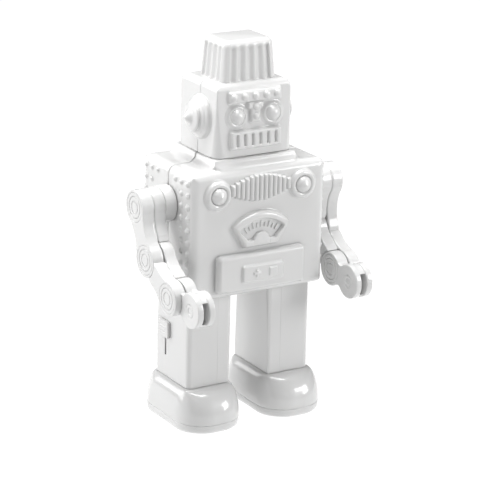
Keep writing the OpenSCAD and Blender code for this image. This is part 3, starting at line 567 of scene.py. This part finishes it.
def crown_level(z):
    """One outline of the crown at height z, with its flutes cut into it."""
    corner_r, top_r, depth, margin = 6.0, 5.0, 1.7, 3.2
    front_flutes, side_flutes = 5, 4
    taper_w, taper_d = 2.5 * z / CROWN_H, 1.75 * z / CROWN_H
    rim = CROWN_H - z
    pull = top_r - math.sqrt(max(top_r ** 2 - max(top_r - rim, 0) ** 2, 0))
    fade = np.clip((rim - 3.5) / 2.5, 0, 1) * np.clip(z / 1.2 + 0.2, 0, 1)
    points = []
    for turn, k, x, y, along, angle in rounded_walk(CROWN_HALF_W, CROWN_HALF_D, corner_r):
        normal = np.array((math.sin(angle), -math.cos(angle)))
        dent = pull
        if along is not None:
            count, half = (front_flutes, CROWN_HALF_W) if k % 2 == 0 else (side_flutes, CROWN_HALF_D)
            run = 2 * (half - margin)
            dent += depth * fade * math.sin(math.pi * (along / run + 0.5) * count) ** 2
        place = np.array((x, y)) - normal * dent
        c, s = math.cos(turn), math.sin(turn)
        px = (place[0] * c - place[1] * s) * (CROWN_HALF_W - taper_w) / CROWN_HALF_W
        py = (place[0] * s + place[1] * c) * (CROWN_HALF_D - taper_d) / CROWN_HALF_D
        points.append((px * MM, (middle_y + CROWN_Y + py) * MM, (CROWN_Z + z) * MM))
    return points


def make_crown():
    """The crown in even steps, then in ever finer ones as its top rounds over."""
    rounding, foot = 6, 0.4
    even = list(np.arange(0, CROWN_H - rounding, 0.8))
    finer = list(CROWN_H - rounding + rounding * np.sin(np.linspace(0, math.pi / 2, 14)))
    levels = [crown_level(z) for z in even + finer]
    levels.insert(0, [(x, y, z - foot * MM) for x, y, z in levels[0]])
    dress(join_parts("fluted_crown", [loft_part(levels, len(levels[0]))]), "crown")


# ---------- chest ----------

FAN_Y = 24.8         # how far the gauge's arc centre lies below its middle
HUB_Y, HUB_R = 13, 7.5
GAUGE_T = 4.8


def arc_outline(radius, half_w, foot_w, foot_y):
    """Corners of the gauge's fan shape, anticlockwise from its lower left."""
    edge = math.degrees(math.asin(half_w / radius))
    arc = [(radius * math.sin(math.radians(a)), -FAN_Y + radius * math.cos(math.radians(a)))
           for a in np.linspace(edge, -edge, 25)]
    return [(-foot_w, foot_y), (foot_w, foot_y)] + arc


def window_gap(x, y):
    """Distance to the gauge's window, which goes round the hub; negative inside."""
    fan = outline_distance(x, y, arc_outline(28.0, 17.5, 11.0, -10.0), 1.0)
    return np.maximum(fan, HUB_R - np.hypot(x, y + HUB_Y))


def gauge_height(x, y):
    """The gauge's thick frame, its window and its domed hub."""
    outline = outline_distance(x, y, arc_outline(33.0, 22.2, 13.4, -15.0), 2.0)
    plate = round_edge(outline, GAUGE_T, 2.9, 1.4)
    from_hub = np.hypot(x, y + HUB_Y)
    bulge = np.sqrt(np.clip(1 - from_hub ** 2 / 9.5 ** 2, 0, 1))
    body = np.where(from_hub < HUB_R, np.minimum(plate, 3.2 + 1.75 * bulge), plate)
    return np.where(plate > 0.8, np.minimum(body, pocket(window_gap(x, y), GAUGE_T, 1.6, 1.5)), plate)


def dial_height(x, y):
    """The floor of the window, with a fan of ticks, every second one longer."""
    height = np.where(window_gap(x, y) < 0.4, 1.9, BURIED)
    radius, angle = np.hypot(x, y + FAN_Y), np.degrees(np.arctan2(x, y + FAN_Y))
    for a in range(-32, 33, 8):
        near = np.abs(angle - a) * math.pi / 180 * radius
        tick = (near < 0.5) & (radius > 22.6) & (radius < (27.2 if a % 16 == 0 else 26))
        height = np.where(tick & (height > 0), 2.9, height)
    return height


def grille_height(x, y):
    """Thirteen upright ribs whose ends follow a lens shape."""
    step, half_w, side_ribs = 4.0, 26, 6
    rib = np.clip(np.round(x / step), -side_ribs, side_ribs)
    u = np.clip((x - rib * step) / (step / 2), -1, 1)
    half = 0.5 * (8 + 13 * np.cos(np.pi / 2 * np.abs(rib * step) / half_w))
    end = np.clip((half - np.abs(y)) / 1.8, 0, 1)
    height = (0.3 + 2.9 * np.sqrt(np.clip(1 - u ** 2, 0, 1))) * np.sqrt(1 - (1 - end) ** 2)
    return np.where((np.abs(x) < half_w + 0.2) & (np.abs(y) < half), height, BURIED)


PIN_Y, PIN_HEIGHT = -12.55, 2.3      # the hinge pin, from the cover's middle and back


def near_lug(x, y):
    """The cover's lower edge is notched where the hinge lugs stand."""
    return (y < -10.2) & (np.abs(np.abs(x) - 32.5) < 2.2)


def cover_height(x, y):
    """The cover with its raised plate, which carries a plus and a square."""
    height = round_edge(box_distance(x, y, 38.0, 14.75, 3.4), 5.6, 3.0, 0.01)
    low = y + 0.6
    badge = round_edge(box_distance(x, low, 18.0, 6.5, 2.0), 2.2, 1.5, 1.4)
    height = np.where(height > 3, height + np.maximum(badge, 0), height)
    plus = np.minimum(box_distance(x + 6, low, 3.1, 1.1, 0.4), box_distance(x + 6, low, 1.1, 3.1, 0.4))
    square = box_distance(x - 8, low, 3.4, 3.4, 0.6)
    mark = round_edge(np.minimum(plus, square), 1.0, 0.8, 0.4)
    height = np.where(height > 3, height + np.maximum(mark, 0), height)
    return np.where(near_lug(x, y) & (height < 5.2), BURIED, height)


def cover_back(x, y):
    """The back is round and channelled about the hinge pin and its lugs, so that the cover can swing."""
    above = y - PIN_Y
    low = np.clip(np.abs(np.minimum(above, 0)) / 2.2, 0, 1)
    back = PIN_HEIGHT - PIN_HEIGHT * np.sqrt(1 - low ** 2)
    pin = (np.abs(above) < 1.6) & (np.abs(x) < 37)
    hollow = np.where(near_lug(x, y), 4.5, np.where(pin, 3.8, back))
    return np.clip(hollow, 0, np.maximum(cover_height(x, y) - 0.6, 0))


def make_buttons():
    ring = [
        (6.6, -ROOT), (6.6, 2.0), (7.3, 2.9), (8.6, 3.3), (9.8, 2.8), (10.7, 1.7), (11.3, 0.7), (12.3, 0.05),
        (12.3, -ROOT),
    ]
    knob = [
        (AXIS, 7.6), (1.0, 7.1), (2.2, 6.6), (4.0, 5.7), (5.4, 4.3), (6.2, 3.1), (6.45, 2.2), (6.45, -3.6),
        (8.4, -4.0), (8.4, -4.9),
    ]
    planes = [front_plane(s * BUTTON_X, BUTTON_Z) for s in (-1, 1)]
    dress(join_parts("button_rings", [ring_part(plane, ring) for plane in planes]), "button_bezels")
    for plane, name in zip(planes, ("chest_button_right", "chest_button_left")):
        dress(join_parts(name + "_knob", [lathe_part(plane, knob)]), name)


def make_chest():
    for name, node, plane, half_w, half_h, height, step, under in (
        ("gauge_frame", "gauge_bezel", front_plane(0, GAUGE_Z), 27, 20, gauge_height, 0.3, None),
        ("gauge_face", "gauge_dial", front_plane(0, GAUGE_Z), 20, 13, dial_height, 0.2, None),
        ("rib_grille", "chest_grille", front_plane(0, GRILLE_Z), 27, 12, grille_height, 0.22, None),
        ("bay_cover", "battery_cover", front_plane(0, COVER_Z, COVER_SLACK), 38.6, 15.4, cover_height, 0.4,
         cover_back),
    ):
        dress(join_parts(name, [relief_part(plane, half_w, half_h, height, step, under)]), node)
    make_buttons()


def rivet_parts(sign_y):
    """Two columns of rivets and one more on each side, before or behind the seam."""
    profile = [(AXIS, 1.7), (0.9, 1.5), (1.7, 0.95), (2.2, 0.3), (2.8, 0.03), (2.9, -0.4)]
    places = [(RIVET_Y - RIVET_PITCH * c, RIVET_Z - RIVET_PITCH * i) for c in (0, 1) for i in range(9)]
    places.append((RIVET_Y - 2 * RIVET_PITCH, RIVET_Z))
    return [lathe_part(side_plane(s, sign_y * y, z), profile, 16) for s in (-1, 1) for y, z in places]


# ---------- feet ----------

def reach(angles, gap):
    """How far out the outline lies in each direction; gap(x, y) is a distance to it."""
    near, far = np.zeros(len(angles)), np.full(len(angles), 90.0)
    halvings = 26
    for _ in range(halvings):
        half = (near + far) / 2
        inside = gap(half * np.cos(angles), half * np.sin(angles)) < 0
        near, far = np.where(inside, half, near), np.where(inside, far, half)
    return near


def foot_gap(x, y):
    """The foot's outline about its middle; its toe, towards -y, is rounder than its heel."""
    toe = box_distance(x, y, FOOT_HALF_W, FOOT_HALF_L, 23.0)
    heel = box_distance(x, y, FOOT_HALF_W, FOOT_HALF_L, 15.0)
    return np.where(y < 0, toe, heel)


def ankle_gap(x, y):
    """The shoe's upper rim, just outside the leg."""
    return box_distance(x + 0.25, y - 5.5, 19.2, 26.6, 5.0)


def foot_level(side, angles, radii, z):
    """One outline of a foot at height z."""
    x = side * (FOOT_X + radii * np.cos(angles))
    y = middle_y + FOOT_Y + radii * np.sin(angles)
    return [(float(a) * MM, float(b) * MM, z * MM) for a, b in zip(x, y)]


def make_foot(side, name):
    """A sole that tucks in underneath, and a shoe that swells from the leg out to it."""
    count, dome_z, dome_h = 180, 9.0, 22.6
    angles = np.linspace(0, 2 * math.pi, count, endpoint=False)[::side]
    edge = reach(angles, foot_gap)
    ankle = np.minimum(reach(angles, ankle_gap), edge - 1.0)
    tuck = ((3.0, 0.0), (1.9, 0.4), (1.0, 1.2), (0.4, 2.4), (0.1, 4.0), (0.0, 6.4), (0.2, 6.85))
    sole = [foot_level(side, angles, edge - inset, z) for inset, z in tuck]
    dress(join_parts("sole_slab_" + name, [loft_part(sole, count)]), "sole_" + name)
    upper = [foot_level(side, angles, edge - 0.2, 6.87), foot_level(side, angles, edge, 7.3)]
    for t in np.linspace(0, math.pi / 2, 30):
        radii = ankle + (edge - ankle) * math.cos(t) ** 1.1
        upper.append(foot_level(side, angles, radii, dome_z + dome_h * math.sin(t)))
    upper.append(foot_level(side, angles, ankle - 4.0, 31.7))
    dress(join_parts("shoe_upper_" + name, [loft_part(upper, count)]), "shoe_" + name)


# ---------- assembly ----------

def shell_piece(node, extra):
    """A body shell, melted, with more parts joined to it."""
    base = melted_copy(node, 0.85, 4)
    dress(join_parts(node + "_glazed", [mesh_part(base)] + extra), node)


LEG_SEAM_NUDGE = 0.16      # mm each half of a leg is moved towards the other, to narrow their seam

shell_piece("front_shell", rivet_parts(-1))
shell_piece("rear_shell", rivet_parts(1))
for node in ("face_shell", "rear_head_shell"):
    dress(melted_copy(node, 0.5, 4, 0.3), node)
make_face()
make_ears()
make_crown()
make_chest()
dress(melted_copy("power_switch", 0.25, 3), "power_switch")
for side, name in ((-1, "right"), (1, "left")):
    make_foot(side, name)
    crisp_copy("leg_shell_" + name, -LEG_SEAM_NUDGE * side)
    crisp_copy("leg_cover_" + name, LEG_SEAM_NUDGE * side)
    for node in ("upper_arm_", "forearm_", "hand_"):
        dress(melted_copy(node + name, 0.45, 5, 0.1), node + name)
    dress(melted_copy("shoulder_hub_" + name, 0.45, 5), "shoulder_hub_" + name)
    for node in ("hand_caps_", "elbow_rivet_", "wrist_rivet_", "shoulder_bolt_"):
        dress(melted_copy(node + name, 0.22, 2), node + name)

for node, thing in frame["nodes"].items():
    if node not in rebuilt:
        thing.data.materials.clear()
        thing.data.materials.append(SLOT_MATERIAL[SLOT_OF[node]])


# ---------- stage, light and camera ----------

def make_floor():
    """A white floor that glows, as paper lit from behind does."""
    half = 6.0
    mesh = bpy.data.meshes.new("floor")
    corners = [(-half, -half, 0), (half, -half, 0), (half, half, 0), (-half, half, 0)]
    mesh.from_pydata(corners, [], [(0, 1, 2, 3)])
    material, _, shader = new_material("pale_floor")
    shader.inputs["Base Color"].default_value = (0.06, 0.06, 0.06, 1)
    shader.inputs["Roughness"].default_value = 0.9
    shader.inputs["Specular IOR Level"].default_value = 0.1
    shader.inputs["Emission Color"].default_value = (1, 1, 1, 1)
    shader.inputs["Emission Strength"].default_value = 1.0
    mesh.materials.append(material)
    new_object("floor", mesh)


def area_light(name, place, aim, size, power):
    lamp = bpy.data.lights.new(name, "AREA")
    lamp.shape = "RECTANGLE"
    lamp.size, lamp.size_y = size
    lamp.energy = power
    thing = bpy.data.objects.new(name, lamp)
    bpy.context.scene.collection.objects.link(thing)
    thing.location = place
    thing.rotation_euler = (Vector(aim) - Vector(place)).to_track_quat("-Z", "Y").to_euler()


def make_light():
    """Two soft lights across the figure, one above, and a weak one from its right."""
    world = bpy.data.worlds.new("studio")
    bpy.context.scene.world = world
    world.use_nodes = True
    world.node_tree.nodes["Background"].inputs["Color"].default_value = (1, 1, 1, 1)
    world.node_tree.nodes["Background"].inputs["Strength"].default_value = 0.1
    middle = (0, 0.03, 0.15)
    area_light("left_rear", (-1.1, 0.9, 0.8), middle, (1.2, 1.2), 17)
    area_light("right_front", (1.2, -1.2, 0.7), middle, (0.7, 0.7), 15)
    area_light("left_fill", (-1.4, -0.1, 0.5), middle, (1.0, 1.0), 3)
    area_light("top", (0.0, 0.1, 1.5), middle, (1.0, 1.0), 31)


CAMERA_AZIMUTH = math.radians(-31.0)
CAMERA_ELEVATION = math.radians(17.65)
CAMERA_ROLL = math.radians(1.1)
CAMERA_DISTANCE = 1.775
CAMERA_LENS = 173.6
CAMERA_TARGET = Vector((0.0051, 0.025, 0.1355))


def make_camera():
    lens = bpy.data.cameras.new("camera")
    lens.lens = CAMERA_LENS
    lens.sensor_width = 36
    lens.clip_end = 50
    camera = bpy.data.objects.new("camera", lens)
    bpy.context.scene.collection.objects.link(camera)
    away = Vector((
        math.sin(CAMERA_AZIMUTH) * math.cos(CAMERA_ELEVATION),
        -math.cos(CAMERA_AZIMUTH) * math.cos(CAMERA_ELEVATION),
        math.sin(CAMERA_ELEVATION),
    ))
    camera.location = CAMERA_TARGET + away * CAMERA_DISTANCE
    look = (-away).to_track_quat("-Z", "Y").to_matrix()
    camera.rotation_euler = (look @ Matrix.Rotation(CAMERA_ROLL, 3, "Z")).to_euler()
    bpy.context.scene.camera = camera


make_floor()
make_light()
make_camera()
bpy.context.scene.view_settings.view_transform = "Standard"
